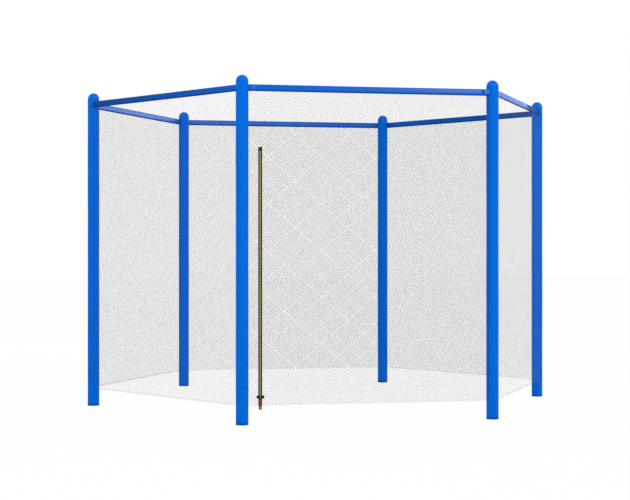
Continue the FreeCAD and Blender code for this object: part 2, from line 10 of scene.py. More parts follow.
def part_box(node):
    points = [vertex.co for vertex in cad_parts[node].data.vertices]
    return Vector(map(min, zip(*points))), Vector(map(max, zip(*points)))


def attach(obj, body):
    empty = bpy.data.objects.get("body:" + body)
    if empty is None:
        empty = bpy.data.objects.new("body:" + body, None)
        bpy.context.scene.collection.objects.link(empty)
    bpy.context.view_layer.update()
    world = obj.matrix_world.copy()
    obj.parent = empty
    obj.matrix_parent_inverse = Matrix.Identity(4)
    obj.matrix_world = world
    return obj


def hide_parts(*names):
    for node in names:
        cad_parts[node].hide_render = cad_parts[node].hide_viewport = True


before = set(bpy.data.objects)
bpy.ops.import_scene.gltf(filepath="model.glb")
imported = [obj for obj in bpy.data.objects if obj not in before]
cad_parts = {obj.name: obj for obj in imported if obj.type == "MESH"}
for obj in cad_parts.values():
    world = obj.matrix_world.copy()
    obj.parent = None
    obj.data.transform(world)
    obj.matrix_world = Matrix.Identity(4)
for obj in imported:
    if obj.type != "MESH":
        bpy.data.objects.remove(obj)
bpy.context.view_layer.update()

ROOT = "enclosure"
POLES = {"left": 180, "front_left": 240, "front_right": 300, "right": 0, "back_right": 60, "back_left": 120}
PANELS = {"front_left": 210, "front": 270, "front_right": 330, "back_right": 30, "back": 90, "back_left": 150}

X, Y, Z = range(3)
ALONG, OUTWARD, UPWARD = Vector((1, 0, 0)), Vector((0, -1, 0)), Vector((0, 0, 1))


# Sizes taken from the frame


def middle(box, axis):
    """The middle of a node's box along one axis."""
    return (box[0][axis] + box[1][axis]) / 2


TUBE_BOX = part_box("lower_tube_right")
SLEEVE_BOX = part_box("pole_cover_right")
FOAM_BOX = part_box("pole_foam_right")
CAP_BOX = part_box("pole_cap_right")
NET_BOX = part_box("net_panel_front")
BAND_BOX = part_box("top_band_front")
HEM_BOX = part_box("bottom_hem_back")
TAPE_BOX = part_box("zip_tape_left")
TEETH_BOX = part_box("zip_teeth_left")
TAB_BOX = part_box("zip_top_tab")
STOP_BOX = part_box("zip_bottom_stop")
SLIDER_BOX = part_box("zip_slider")
GRIP_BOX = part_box("slider_grip")

# How far soft pieces stand past their solids
FULLER = 0.001
BAND_BELOW, BAND_ABOVE = 0.0010, 0.0025
TAIL_BELOW = 0.0010

POLE_CIRCLE = middle(TUBE_BOX, X)
TUBE_RADIUS = TUBE_BOX[1].y
FOAM_RADIUS = FOAM_BOX[1].y + FULLER
SLEEVE_RADIUS = SLEEVE_BOX[1].y + FULLER
SLEEVE_FOOT, SLEEVE_TOP = SLEEVE_BOX[0].z, SLEEVE_BOX[1].z
CAP_TOP = CAP_BOX[1].z + FULLER
CAP_RADIUS = CAP_BOX[1].y + FULLER
HALF_CHORD = POLE_CIRCLE * sin(radians(30))
APOTHEM = POLE_CIRCLE * cos(radians(30))
NET_REACH = -middle(NET_BOX, Y)
NET_OFFSET = NET_REACH - APOTHEM
NET_HALF = NET_BOX[1].x - FULLER / 2
NET_LOW, NET_HIGH = NET_BOX[0].z, NET_BOX[1].z
BAND_LOW, BAND_HIGH = BAND_BOX[0].z - BAND_BELOW, BAND_BOX[1].z + BAND_ABOVE
HEM_LOW, HEM_HIGH = HEM_BOX[0].z, HEM_BOX[1].z
SOFT_GAP = 0.0003
SLEEVE_REACH = SLEEVE_RADIUS + SOFT_GAP
ZIP_X = middle(TAB_BOX, X)
ZIP_HALF = TAB_BOX[1].x - ZIP_X
ZIP_TOP = TAB_BOX[1].z
SLIT_HALF = 0.0072
SLIT_TOP = middle(TAB_BOX, Z)


def panel_matrix(angle):
    """A panel's frame: x along it, z up, -y outward, the net in the plane y = 0."""
    return Matrix.Rotation(radians(angle + 90), 4, "Z") @ Matrix.Translation((0, -NET_REACH, 0))


def pole_matrix(angle):
    """A pole's frame: z up its axis, +x away from the centre."""
    return Matrix.Rotation(radians(angle), 4, "Z") @ Matrix.Translation((POLE_CIRCLE, 0, 0))


def depth_of(world_y):
    """A place in the front panel's frame, from its world y."""
    return world_y + NET_REACH


FRONT = panel_matrix(PANELS["front"])


# Meshes


def turns(count):
    """Angles evenly round a circle."""
    return [2 * pi * step / count for step in range(count)]


def polar(radius, turn, height):
    """A point at a radius and a turn round the upright axis."""
    return Vector((radius * cos(turn), radius * sin(turn), height))


def smoothly(share):
    """A smooth step from 0 to 1."""
    share = min(max(share, 0), 1)
    return share * share * (3 - 2 * share)


class Shape:
    """Points and faces of one piece, gathered from simple forms."""

    def __init__(self, rings=(), joined=False):
        self.points = []
        self.faces = []
        if rings:
            self.sweep(rings, joined)

    def add(self, points, faces):
        """Adds a form whose faces count from its own first point."""
        start = len(self.points)
        self.points.extend(points)
        self.faces.extend(tuple(start + index for index in face) for face in faces)

    def sweep(self, rings, joined=False):
        """A skin through closed rings of points: capped at its ends, or joined end to end."""
        count, stations = len(rings[0]), len(rings)
        faces = []
        for station in range(stations if joined else stations - 1):
            here, after = station * count, (station + 1) % stations * count
            for corner in range(count):
                beside = (corner + 1) % count
                faces.append((here + corner, here + beside, after + beside, after + corner))
        if not joined:
            faces.append(tuple(range(count))[::-1])
            faces.append(tuple((stations - 1) * count + corner for corner in range(count)))
        self.add([point for ring in rings for point in ring], faces)

    def yarn(self, path, across, out):
        """A flat yarn along a path: across and out are its half width and half depth."""
        self.sweep([[p + across - out, p + across + out, p - across + out, p - across - out] for p in path])

    def bead(self, centre, across, out, along, half):
        """A small spindle, such as a stitch: half holds its half width, half depth and half length."""
        first, second, third = across * half[0], out * half[1], along * half[2]
        points = [centre + first, centre + second, centre - first, centre - second,
                  centre + third, centre - third]
        faces = [(0, 1, 4), (1, 2, 4), (2, 3, 4), (3, 0, 4), (1, 0, 5), (2, 1, 5), (3, 2, 5), (0, 3, 5)]
        self.add(points, faces)


def new_object(name, data):
    """An object that is in the scene."""
    made = bpy.data.objects.new(name, data)
    bpy.context.scene.collection.objects.link(made)
    return made


def make_piece(name, shape, matrix, material, body=ROOT, stands_for=(), sharp=40):
    """Turns a shape into an object that rides on a body."""
    mesh = bpy.data.meshes.new(name)
    mesh.from_pydata(shape.points, [], shape.faces)
    mesh.update()
    mesh.shade_smooth()
    mesh.set_sharp_from_angle(angle=radians(sharp))
    piece = new_object(name, mesh)
    piece.matrix_world = matrix
    mesh.materials.append(material)
    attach(piece, body)
    if stands_for:
        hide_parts(*stands_for)
    return piece


# Materials


def new_material(name, colour, roughness, specular, **others):
    """A plain surface with its tree and shader; others are more sockets of the shader, such as Metallic."""
    material = bpy.data.materials.new(name)
    material.use_nodes = True
    tree = material.node_tree
    shader = tree.nodes["Principled BSDF"]
    shader.inputs["Base Color"].default_value = (*colour, 1)
    shader.inputs["Roughness"].default_value = roughness
    shader.inputs["Specular IOR Level"].default_value = specular
    for socket, value in others.items():
        shader.inputs[socket.replace("_", " ")].default_value = value
    material.diffuse_color = (*colour, 1)
    return material, tree, shader


def node(tree, kind, settings=None, **inputs):
    """A node with its settings made and its inputs linked or filled."""
    made = tree.nodes.new(f"ShaderNode{kind}")
    for key, value in (settings or {}).items():
        setattr(made, key, value)
    for key, value in inputs.items():
        slot = made.inputs[int(key[1:]) if key[1:].isdigit() else key.replace("_", " ")]
        if isinstance(value, bpy.types.NodeSocket):
            tree.links.new(value, slot)
        else:
            slot.default_value = value
    return made


def maths(tree, operation, first, second=0.0):
    """The output of one sum."""
    return node(tree, "Math", {"operation": operation}, i0=first, i1=second).outputs[0]


def own_place(tree):
    """A point in the piece's own frame, and its x, y and z."""
    place = node(tree, "TexCoord").outputs["Object"]
    return place, node(tree, "SeparateXYZ", i0=place).outputs


def spread(tree, value, low, high):
    """A value from 0 at low to 1 at high."""
    return node(tree, "MapRange", i0=value, i1=low, i2=high).outputs[0]


def grain(tree, place, scale, detail=4.0):
    """Noise from 0 to 1."""
    noise = node(tree, "TexNoise", Vector=place, Scale=scale, Detail=detail)
    return noise.outputs["Fac"]


def patches(tree, place, scale, low, high, detail=4.0):
    """Patches of noise, 0 where it is under low and 1 where it is over high."""
    return spread(tree, grain(tree, place, scale, detail), low, high)


def weave(tree, along, across, pitch_along, pitch_across):
    """The height of a plain weave, from -1 to 1."""
    waves = []
    for place, pitch in ((along, pitch_along), (across, pitch_across)):
        turn = maths(tree, "MULTIPLY", place, 2 * pi / pitch)
        waves.append(maths(tree, "SINE", turn))
    return maths(tree, "MULTIPLY", *waves)


def blend(tree, share, first, second):
    """A colour between two, by a share from 0 to 1."""
    mix = node(tree, "Mix", {"data_type": "RGBA"})
    tree.links.new(share, mix.inputs[0])
    for slot, colour in ((6, first), (7, second)):
        if isinstance(colour, bpy.types.NodeSocket):
            tree.links.new(colour, mix.inputs[slot])
        else:
            mix.inputs[slot].default_value = (*colour, 1)
    return mix.outputs[2]


def shade_hollows(tree, height, dark, light):
    """A colour that darkens from the crests to the hollows of a height from -1 to 1."""
    return blend(tree, spread(tree, height, -1.0, 1.0), dark, light)


def give_surface(tree, shader, colour, height, distance, strength=1.0):
    """Gives a shader its colour, and bump from a height."""
    tree.links.new(colour, shader.inputs["Base Color"])
    bump = node(tree, "Bump", Height=height, Distance=distance, Strength=strength)
    tree.links.new(bump.outputs[0], shader.inputs["Normal"])


def darker(colour, share):
    """A colour with part of its light taken away."""
    return tuple(channel * share for channel in colour)


SLEEVE_BLUE = (0.0002, 0.155, 0.760)
CAP_BLUE = (0.0004, 0.160, 0.760)
BAND_BLUE = (0.001, 0.136, 0.700)
THREAD_BLUE = (0.02, 0.23, 0.80)
NAVY = (0.003, 0.026, 0.180)
NET_DARK = (0.007, 0.007, 0.0075)
TAPE_BROWN = (0.085, 0.040, 0.020)
TAPE_OLIVE = (0.050, 0.034, 0.002)
TAIL_BROWN = (0.320, 0.088, 0.014)
CHAIN_OLIVE = (0.66, 0.52, 0.20)
BLACK = (0.008, 0.008, 0.009)
THREAD_BLACK = (0.02, 0.02, 0.022)
TAB_BLACK = (0.046, 0.037, 0.025)
STOP_BROWN = (0.48, 0.28, 0.11)
SLIDER_OLIVE = (0.026, 0.022, 0.004)
CORE_OLIVE = (0.085, 0.075, 0.020)
WORN_METAL = (0.20, 0.18, 0.09)
ZINC_LIGHT, ZINC_DARK = (0.62, 0.63, 0.64), (0.42, 0.43, 0.45)
FOAM_LIGHT, FOAM_DARK = (0.72, 0.73, 0.74), (0.50, 0.51, 0.53)

SLEEVE_THREADS = 150
# Height over which painted shade darkens each sleeve towards its foot.
FOOT_SHADE_HEIGHT = 0.018
THREAD_TWIST = 0.0007
# Heights over the band's lower edge where its painted shade starts and where it is full.
EDGE_SHADE_START, EDGE_SHADE_FULL = 0.012, 0.003
RED_START, RED_FULL = 0.010, -0.002


def sleeve_material():
    """Coated fabric: fine weave, faint mottling, and painted shade that darkens it towards the foot."""
    material, tree, shader = new_material("sleeve_fabric", SLEEVE_BLUE, roughness=0.6, specular=0.02)
    place, (x, y, z) = own_place(tree)
    turn = maths(tree, "ARCTAN2", y, x)
    around = maths(tree, "MULTIPLY", turn, SLEEVE_RADIUS)
    threads = weave(tree, around, z, 2 * pi * SLEEVE_RADIUS / SLEEVE_THREADS, 0.0015)
    mottled = patches(tree, place, 9.0, 0.35, 0.65)
    colour = blend(tree, mottled, darker(SLEEVE_BLUE, 0.94), SLEEVE_BLUE)
    colour = shade_hollows(tree, threads, darker(SLEEVE_BLUE, 0.9), colour)
    # Painted shade: the colour darkens towards the sleeve's foot.
    colour = blend(tree, spread(tree, z, FOOT_SHADE_HEIGHT, 0.0), colour, darker(SLEEVE_BLUE, 0.4))
    give_surface(tree, shader, colour, threads, distance=0.00012, strength=0.6)
    return material


def cap_material():
    """Moulded plastic with a fine spark-eroded texture."""
    material, tree, shader = new_material("cap_plastic", CAP_BLUE, roughness=0.45, specular=0.06)
    place, _ = own_place(tree)
    mottled = patches(tree, place, 60.0, 0.3, 0.7)
    colour = blend(tree, mottled, darker(CAP_BLUE, 0.93), CAP_BLUE)
    give_surface(tree, shader, colour, grain(tree, place, 1800.0), distance=0.00008, strength=0.7)
    return material


def webbing_material(name, colour, roughness, specular, fade=None, shine=(0, 1, 1), painted_edge_shade=None,
                     **others):
    """Ribbed webbing with a little fluff.

    fade is (start, end, share): along x from start to end, painted shade darkens it by that share.
    painted_edge_shade is (start, end): down from start to end, painted shade darkens it and it loses its
    coat.
    shine is (start, end, least): along x its coat grows from that least weight to full.
    """
    material, tree, shader = new_material(name, colour, roughness, specular, **others)
    place, (x, y, z) = own_place(tree)
    ribs = weave(tree, x, z, 0.0026, 0.0036)
    base = shade_hollows(tree, ribs, darker(colour, 0.78), colour)
    base = blend(tree, patches(tree, place, 24.0, 0.3, 0.7), darker(colour, 0.88), base)
    # Painted shade: the colour darkens along x from start to end, by the given share.
    if fade:
        start, end, share = fade
        shade_share = maths(tree, "MULTIPLY", spread(tree, x, start, end), share)
        base = blend(tree, shade_share, base, (0, 0, 0))
    # Painted shade along the band's lower edge: darker, and losing its coat.
    if painted_edge_shade:
        edge = spread(tree, z, *painted_edge_shade)
        base = blend(tree, edge, base, darker(colour, 0.5))
        start, end, least = shine
        growing = maths(tree, "POWER", spread(tree, x, start, end), 2.0)
        coat = maths(tree, "MAXIMUM", growing, least)
        coat = maths(tree, "MULTIPLY", coat, maths(tree, "SUBTRACT", 1.0, edge))
        tree.links.new(coat, shader.inputs["Coat Weight"])
    give_surface(tree, shader, base, ribs, distance=0.0002, strength=0.8)
    return material


def band_material(place, painted_brightness=1.0, coat_ior=1.12, **ends):
    """Blue webbing with the soft shine of its filaments, painted shade along its lower edge, and painted
    light and shade by panel.
    """
    return webbing_material(f"band_webbing_{place}", darker(BAND_BLUE, painted_brightness), roughness=0.6, specular=0.0,
                            Coat_Weight=1.0, Coat_IOR=coat_ior, Coat_Roughness=0.27,
                            painted_edge_shade=(BAND_LOW + EDGE_SHADE_START, BAND_LOW + EDGE_SHADE_FULL), **ends)


def yarn_material():
    """Thin dark yarn, twisted, with the pale sheen that fine filaments have at a shallow angle."""
    material, tree, shader = new_material("net_yarn", NET_DARK, roughness=0.5, specular=0.0,
                                          Sheen_Weight=0.5, Sheen_Roughness=0.5)
    place, (x, y, z) = own_place(tree)
    twist = weave(tree, maths(tree, "ADD", x, z), z, 0.0011, 0.0023)
    colour = shade_hollows(tree, twist, darker(NET_DARK, 0.6), NET_DARK)
    give_surface(tree, shader, colour, twist, distance=0.00002, strength=0.6)
    return material


def thread_material(name, colour):
    """Sewing thread with its twist."""
    material, tree, shader = new_material(name, colour, roughness=0.5, specular=0.15)
    place, (x, y, z) = own_place(tree)
    turn = maths(tree, "MULTIPLY", maths(tree, "ADD", x, z), 2 * pi / THREAD_TWIST)
    twist = maths(tree, "SINE", turn)
    base = shade_hollows(tree, twist, darker(colour, 0.6), colour)
    give_surface(tree, shader, base, twist, distance=0.0001)
    return material


def steel_material():
    """Galvanised tube: dull zinc with its spangle."""
    material, tree, shader = new_material("galvanised_steel", ZINC_LIGHT, roughness=0.42, specular=0.5,
                                          Metallic=1.0)
    place, _ = own_place(tree)
    spangle = node(tree, "TexVoronoi", Vector=place, Scale=160.0).outputs["Color"]
    flecks = node(tree, "SeparateColor", i0=spangle).outputs[0]
    colour = blend(tree, flecks, ZINC_DARK, ZINC_LIGHT)
    give_surface(tree, shader, colour, grain(tree, place, 300.0), distance=0.00005)
    return material


def foam_material():
    """Closed-cell foam on its cut face."""
    material, tree, shader = new_material("foam", FOAM_LIGHT, roughness=0.9, specular=0.1)
    place, _ = own_place(tree)
    cells = node(tree, "TexVoronoi", Vector=place, Scale=900.0).outputs["Distance"]
    give_surface(tree, shader, blend(tree, cells, FOAM_DARK, FOAM_LIGHT), cells, distance=0.0004)
    return material


def tape_material(name, colour):
    """Woven zip tape, redder below the slider and soiled on its loose ends."""
    material, tree, shader = new_material(name, colour, roughness=0.7, specular=0.1)
    place, (x, y, z) = own_place(tree)
    threads = weave(tree, x, z, 0.0012, 0.0016)
    below = spread(tree, z, SLIDER_BOX[0].z + RED_START, SLIDER_BOX[0].z + RED_FULL)
    light = blend(tree, below, colour, TAIL_BROWN)
    dark = blend(tree, below, darker(colour, 0.6), darker(TAIL_BROWN, 0.6))
    woven = shade_hollows(tree, threads, dark, light)
    soiled = maths(tree, "MULTIPLY", patches(tree, place, 140.0, 0.45, 0.62), below)
    colour = blend(tree, soiled, woven, darker(TAIL_BROWN, 0.5))
    give_surface(tree, shader, colour, threads, distance=0.00015, strength=0.8)
    return material


def plastic_material(name, colour, roughness, specular=0.1):
    """Moulded plastic with a matt grain."""
    material, tree, shader = new_material(name, colour, roughness, specular)
    place, _ = own_place(tree)
    mottled = patches(tree, place, 150.0, 0.3, 0.7)
    base = blend(tree, mottled, darker(colour, 0.8), colour)
    give_surface(tree, shader, base, grain(tree, place, 900.0), distance=0.00006)
    return material


def lacquer_material(name, paint):
    """Dark olive lacquer on die-cast metal, worn brighter where it is handled."""
    material, tree, shader = new_material(name, paint, roughness=0.4, specular=0.2, Metallic=0.3)
    place, _ = own_place(tree)
    wear = patches(tree, place, 500.0, 0.58, 0.68, detail=6.0)
    colour = blend(tree, wear, paint, WORN_METAL)
    give_surface(tree, shader, colour, grain(tree, place, 900.0), distance=0.00005)
    return material


SLEEVE = sleeve_material()
CAP = cap_material()
# A brightness factor above 1 is painted light and one below 1 is painted shade, for the way the panel faces
# the lamps; darkened band ends are painted shade.
BANDS = {"front_left": band_material("front_left", painted_brightness=0.88, fade=(0.65, -0.55, 0.38)),
         "front": band_material("front"),
         "front_right": band_material("front_right", painted_brightness=1.15, fade=(0.22, 0.32, 0.55),
                                      shine=(0.36, 0.22, 0.22)),
         "back_right": band_material("back_right", painted_brightness=0.95, fade=(0.65, -0.55, 0.32)),
         "back": band_material("back", coat_ior=1.3, shine=(-0.75, 0.60, 0.07)),
         "back_left": band_material("back_left", painted_brightness=1.2)}
TAB = webbing_material("tab_webbing", TAB_BLACK, roughness=0.8, specular=0.05)
YARN = yarn_material()
NAVY_THREAD = thread_material("navy_thread", NAVY)
BLUE_THREAD = thread_material("blue_thread", THREAD_BLUE)
BLACK_THREAD = thread_material("black_thread", THREAD_BLACK)
STEEL = steel_material()
FOAM = foam_material()
TAPE_COLOURS = {"left": TAPE_BROWN, "right": TAPE_OLIVE}
TAPES = {side: tape_material(f"zip_tape_{side}", colour) for side, colour in TAPE_COLOURS.items()}
CHAIN = plastic_material("zip_chain", CHAIN_OLIVE, roughness=0.5)
CHAIN_ROOTS = {side: plastic_material(f"zip_roots_{side}", colour, roughness=0.5)
               for side, colour in TAPE_COLOURS.items()}
BLACK_PLASTIC = plastic_material("black_plastic", BLACK, roughness=0.45)
STOP_PLASTIC = plastic_material("stop_plastic", STOP_BROWN, roughness=0.5)
LACQUER = lacquer_material("slider_lacquer", SLIDER_OLIVE)
CORE = lacquer_material("grip_core", CORE_OLIVE)


# Poles. A stitch's three numbers are its half width, half depth and half length.


SLEEVE_WALL = 0.0012
SLEEVE_SIDES, SLEEVE_RINGS = 60, 150
FOAM_SWELLS = (0.00022, 0.00018)
SEAM_STEPS = (0.0008, 0.0018, 0.0028, 0.0042)
SEAM_WIDTH = 0.007
SEAM_RISE = 0.0005
PUCKER, PUCKER_PITCH, PUCKER_REACH = 0.00016, 0.034, 0.012
FOOT_TURN, TOP_TURN = 0.0006, 0.0002
HEM_LINE = 0.0155
HEM_GROOVE, HEM_THICKER = 0.0005, 0.0004
SEAM_STITCH, SEAM_STITCH_PITCH = (0.00035, 0.0003, 0.0018), 0.005
HEM_STITCH, HEM_STITCHES = (0.00035, 0.0004, 0.0015), 56
LACING_STITCH, LACING_LEAN = (0.0011, 0.0011, 0.0046), 0.4
LACING_LOW, LACING_HIGH = 1.906, 1.990
LACING_PITCH = 0.0086


def around_angles():
    """Angles round a sleeve, closer together at its seam."""
    seam = [side * reach / SLEEVE_RADIUS for side in (-1, 1) for reach in SEAM_STEPS]
    seam_angles = [angle % (2 * pi) for angle in seam]
    return sorted(set(turns(SLEEVE_SIDES) + seam_angles))


def past_seam(angle):
    """Distance round a sleeve from the middle of its seam, to either side."""
    return remainder(angle, 2 * pi) * SLEEVE_RADIUS


def seam_rise(angle):
    """Height of the lapped seam that faces away from the centre."""
    across = past_seam(angle)
    lap = smoothly((across + SEAM_WIDTH / 2) / 0.001) - smoothly((across - SEAM_WIDTH / 2) / 0.002)
    return SEAM_RISE * lap


def sleeve_radius(angle, height, phase):
    """Radius of the padded sleeve: foam, seam, and the pull of the seam's stitches."""
    foam = FOAM_SWELLS[0] * sin(2 * angle + 5.3 * height + phase)
    foam += FOAM_SWELLS[1] * sin(3 * angle - 11.0 * height + 2 * phase)
    pucker = PUCKER * sin(2 * pi * height / PUCKER_PITCH)
    pucker *= exp(-(past_seam(angle) / PUCKER_REACH) ** 2)
    return SLEEVE_RADIUS + foam + pucker + seam_rise(angle)


def sleeve_heights():
    """Levels of a sleeve's rings, closer together at both hems."""
    rise = [0.0, FOOT_TURN, 0.002, 0.010, HEM_LINE - 0.001, HEM_LINE, HEM_LINE + 0.001, 0.022]
    low = [SLEEVE_FOOT + step for step in rise]
    high = [SLEEVE_TOP - step for step in reversed(rise[:4])]
    span = high[0] - low[-1]
    return low + [low[-1] + span * step / SLEEVE_RINGS for step in range(1, SLEEVE_RINGS)] + high


def make_sleeve(place, angle, phase):
    """Fabric sleeve: a tube with turned-in edges, a stitched hem at the foot and a lapped seam."""
    hem_line = SLEEVE_FOOT + HEM_LINE
    angles = around_angles()
    rings = []
    for height in sleeve_heights():
        inset = FOOT_TURN * (height == SLEEVE_FOOT) + TOP_TURN * (height == SLEEVE_TOP)
        inset += HEM_GROOVE * (abs(height - hem_line) < 0.0002)
        fuller = HEM_THICKER * smoothly((hem_line - height) / 0.001)
        rings.append([polar(sleeve_radius(turn, height, phase) - inset + fuller, turn, height)
                      for turn in angles])
    for height in (SLEEVE_TOP, SLEEVE_FOOT):
        rings.append([polar(SLEEVE_RADIUS - SLEEVE_WALL, turn, height) for turn in angles])
    sleeve = make_piece(f"sleeve_{place}", Shape(rings, joined=True), pole_matrix(angle), SLEEVE,
                        stands_for=[f"pole_cover_{place}"])


def on_sleeve(turn, height, phase, lift):
    """A point on a sleeve's surface, and its outward and round directions."""
    out = polar(1, turn, 0)
    radius = sleeve_radius(turn, height, phase) + lift
    return out * radius + Vector((0, 0, height)), out, Vector((-out.y, out.x, 0))


def make_sleeve_stitches(place, angle, phase):
    """Running stitches along the seam and round the hem, and thick lacing beside the band."""
    shape = Shape()
    seam_turn = -0.0012 / SLEEVE_RADIUS
    for step in range(int((SLEEVE_TOP - SLEEVE_FOOT - 0.05) / SEAM_STITCH_PITCH)):
        height = SLEEVE_FOOT + 0.02 + step * SEAM_STITCH_PITCH
        point, out, side = on_sleeve(seam_turn, height, phase, 0.0)
        shape.bead(point, side, out, UPWARD, SEAM_STITCH)
    for turn in turns(HEM_STITCHES):
        point, out, side = on_sleeve(turn, SLEEVE_FOOT + HEM_LINE, phase, -0.0003)
        shape.bead(point, UPWARD, out, side, HEM_STITCH)
    for step in range(int((LACING_HIGH - LACING_LOW) / LACING_PITCH) + 1):
        point, out, side = on_sleeve(0, LACING_LOW + step * LACING_PITCH, phase, 0.0004)
        shape.bead(point, UPWARD + side * LACING_LEAN, out, side - UPWARD * LACING_LEAN, LACING_STITCH)
    make_piece(f"sleeve_stitches_{place}", shape, pole_matrix(angle), BLUE_THREAD, sharp=80)


def lathe(profile, count=72):
    """A shape turned from a closed profile of (radius, height) corners that starts and ends on the axis."""
    return Shape([[polar(radius, turn, height) for turn in turns(count)] for radius, height in profile[1:-1]])


def make_cap(place, angle):
    """Domed cap that stands flush on the sleeve, with a fine edge round its foot."""
    base = CAP_TOP - CAP_RADIUS
    wall, rim, lift, edge, bevel = 0.0025, 0.0035, 0.0001, 0.0004, 0.0003
    hub, ceiling, ceiling_edge = 0.003, 0.004, 0.003
    profile = [(0, base + ceiling), (hub, base + ceiling), (CAP_RADIUS - wall, base + ceiling_edge),
               (CAP_RADIUS - wall, base + lift), (CAP_RADIUS - bevel, base + lift),
               (CAP_RADIUS + lift, base + edge), (CAP_RADIUS + lift, base + rim),
               (CAP_RADIUS - lift, base + rim + edge)]
    steps = 24
    for step in range(3, steps):
        turn = pi / 2 * step / steps
        profile.append((CAP_RADIUS * cos(turn), base + CAP_RADIUS * sin(turn)))
    profile.append((0, CAP_TOP))
    make_piece(f"cap_{place}", lathe(profile), pole_matrix(angle), CAP,
               stands_for=[f"pole_cap_{place}"])


def make_foam(place, angle, phase):
    """Foam pad: a ring whose cut end shows at the foot, inside the sleeve's hem."""
    inner, outer = TUBE_RADIUS + SOFT_GAP, FOAM_RADIUS
    low, high = FOAM_BOX[0].z, FOAM_BOX[1].z
    bulge, edge, sway = 0.0002, 0.001, 0.0001
    rings = []
    for radius, height in ((inner, low), (inner + edge, low - bulge), (outer - 0.0015, low - bulge),
                           (outer, low + edge), (outer, high), (inner, high)):
        rings.append([polar(radius, turn, height + sway * sin(5 * turn + phase)) for turn in turns(64)])
    foam = make_piece(f"foam_{place}", Shape(rings, joined=True), pole_matrix(angle), FOAM,
                      stands_for=[f"pole_foam_{place}"])


# Nets


DIAMOND_WIDTH, DIAMOND_HEIGHT = 0.0187, 0.0160
YARN_HALF = {"front_left": 0.00034, "front_right": 0.00030, "back_left": 0.00042}
YARN_HALF_ELSEWHERE = 0.00045
YARN_DEPTH = 0.00002
YARN_LAYER = 0.00005
STEPS_A_SPAN = 8
SIDE_YARN_HALF = 0.0003
BORDER_DEPTHS = (-0.0006, -0.0005, -0.0004, -0.0003, 0.0003, 0.0004, 0.0005, 0.0006)
BORDER_INSET = 0.001
KNOT = (0.00070, 0.00010, 0.0011)
RIPPLE = 0.0011
HEM_LIFT = 0.0007
FOLD_OUT, FOLD_UP = 0.0004, 0.0003
FOLD_YARN_HALF, FOLD_YARN_DEPTH = 0.00015, 0.0003
NET_STITCH, NET_STITCH_PITCH = (0.00013, 0.0002, 0.0014), 0.004
NET_STITCH_OUT, NET_STITCH_DOWN = 0.0010, 0.0018


class Net:
    """The lattice of one panel: where its yarns cross, where they stop, and how it bellies."""

    def __init__(self, place, phase, low, high):
        self.phase, self.low, self.high, self.has_zip = phase, low, high, place == "front"
        self.yarn_half = YARN_HALF.get(place, YARN_HALF_ELSEWHERE)
        self.columns = round(2 * NET_HALF / DIAMOND_WIDTH)
        self.rows = round((NET_HIGH - NET_LOW) / DIAMOND_HEIGHT)
        self.step_x = NET_HALF / self.columns
        self.step_z = (NET_HIGH - NET_LOW) / self.rows / 2
        self.start_x = -NET_HALF
        if self.has_zip:
            self.start_x += (ZIP_X + NET_HALF) % self.step_x
        self.slope = self.step_z / self.step_x

    def belly(self, x, z):
        """How far the net stands out of its plane: nothing at its edges and beside the zip."""
        edge = cos(pi * x / 2 / NET_HALF)
        edge *= sin(pi * min(max((z - NET_LOW) / (NET_HIGH - NET_LOW), 0), 1))
        wave = sin(8.1 * x + self.phase) * sin(7.3 * z + 2 * self.phase)
        wave += 0.7 * sin(3.9 * z - 6.5 * x + 3 * self.phase)
        if self.has_zip:
            edge *= smoothly((abs(x - ZIP_X) - 0.02) / 0.15)
        return RIPPLE * edge * wave

    def point(self, x, z, lift=0.0):
        """A point of the net, lifted outward."""
        return Vector((x, -self.belly(x, z) - lift, z))

    def in_slit(self, x, z):
        """Whether a place lies in the slit behind the zip."""
        return self.has_zip and abs(x - ZIP_X) < SLIT_HALF and z < SLIT_TOP

    def runs(self, way, line):
        """The stretches of one yarn inside the panel, as pairs of x."""
        base = self.low - way * self.slope * line
        ends = sorted(((self.low - base) / (way * self.slope), (self.high - base) / (way * self.slope)))
        start, end = max(ends[0], -NET_HALF), min(ends[1], NET_HALF)
        if not self.has_zip:
            return [(start, end)]
        cut = sorted((max(start, ZIP_X - SLIT_HALF), min(end, ZIP_X + SLIT_HALF)))
        level = self.level(way, line, ZIP_X)
        if level > SLIT_TOP or end < ZIP_X - SLIT_HALF or start > ZIP_X + SLIT_HALF:
            return [(start, end)]
        return [(start, cut[0]), (cut[1], end)]

    def level(self, way, line, x):
        """Height of a yarn at a place across."""
        return self.low + way * self.slope * (x - line)


def net_yarn(shape, net, way, line, lift):
    """One straight yarn that follows the panel's belly from span to span."""
    across = Vector((-way * net.slope, 0, 1)).normalized() * net.yarn_half
    span = STEPS_A_SPAN * net.step_x
    for start, end in net.runs(way, line):
        if end - start < net.step_x / 4:
            continue
        first = floor((start - net.start_x) / span) + 1
        stops = [start]
        place = net.start_x + first * span
        while place < end - net.step_x / 2:
            if place > start + net.step_x / 2:
                stops.append(place)
            place += span
        stops.append(end)
        path = [net.point(x, net.level(way, line, x), lift + way * YARN_LAYER) for x in stops]
        shape.yarn(path, across, OUTWARD * YARN_DEPTH)


